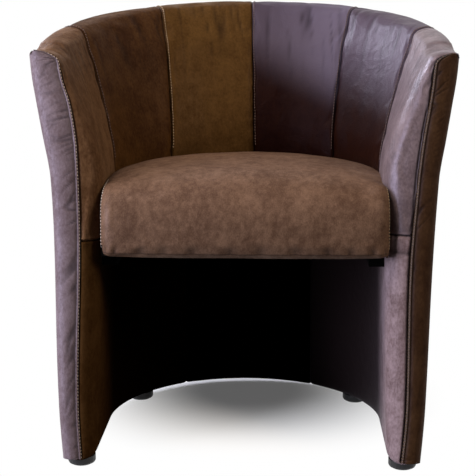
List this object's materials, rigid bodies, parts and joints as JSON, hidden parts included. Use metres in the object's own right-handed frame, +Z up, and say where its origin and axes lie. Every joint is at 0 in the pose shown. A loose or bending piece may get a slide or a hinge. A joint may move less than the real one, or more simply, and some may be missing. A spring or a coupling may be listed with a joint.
{
  "type": "tub chair",
  "caption": "Low tub chair: a U-shaped leather wall flares up round a fixed crowned seat, open below the seat, on small round black glides.",
  "frame": {"origin": "on the floor, at the middle of the chair's width and depth", "axes": "+X to the right as seen from the front, +Y towards the back, +Z up; the seat opens towards -Y"},
  "size_m": [0.6954, 0.5862, 0.757],
  "materials": {
    "leather": "aged brown, suede-like, mottled with a greyish sheen",
    "lining": "dark brown, matte",
    "plywood": "bare",
    "hardboard": "bare",
    "foam": "open-cell foam",
    "wadding": "polyester wadding",
    "webbing": "woven elastic",
    "black_cloth": "black non-woven cloth",
    "black_plastic": "moulded, satin",
    "steel": "zinc plated"
  },
  "bodies": {
    "root": {"base_rail": "plywood", "seat_rail": "plywood", "top_rail": "plywood", "front_post_left": "plywood", "front_post_right": "plywood", "lower_rib_left_side": "plywood", "upper_rib_left_side": "plywood", "lower_rib_left_back": "plywood", "upper_rib_left_back": "plywood", "lower_rib_centre": "plywood", "upper_rib_centre": "plywood", "lower_rib_right_back": "plywood", "upper_rib_right_back": "plywood", "lower_rib_right_side": "plywood", "upper_rib_right_side": "plywood", "outer_board": "hardboard", "inner_board": "hardboard", "lower_inner_board": "hardboard", "outer_wadding": "wadding", "lower_wadding": "wadding", "arm_foam_left": "foam", "back_foam": "foam", "arm_foam_right": "foam", "inner_panel_arm_left": "leather", "inner_panel_side_left": "leather", "inner_panel_back_left": "leather", "inner_panel_back_right": "leather", "inner_panel_side_right": "leather", "inner_panel_arm_right": "leather", "rim_roll": "foam", "nose_foam_left": "foam", "nose_foam_right": "foam", "facing_pad_left": "foam", "facing_pad_right": "foam", "facing_left": "leather", "facing_right": "leather", "outer_cover_left": "leather", "outer_cover_back": "leather", "outer_cover_right": "leather", "lower_lining_left": "lining", "lower_lining_back": "lining", "lower_lining_right": "lining", "base_strip": "black_cloth", "foot_front_left": "black_plastic", "foot_front_right": "black_plastic", "foot_rear_left": "black_plastic", "foot_rear_right": "black_plastic", "seat_ledge": "plywood", "seat_frame": "plywood", "seat_dust_cloth": "black_cloth", "seat_screw_left": "steel", "seat_screw_back": "steel", "seat_screw_right": "steel", "webbing_left": "webbing", "webbing_right": "webbing", "webbing_front": "webbing", "webbing_rear": "webbing", "seat_cover": "leather", "seat_band": "leather", "seat_foam": "foam"}
  },
  "joints": []
}
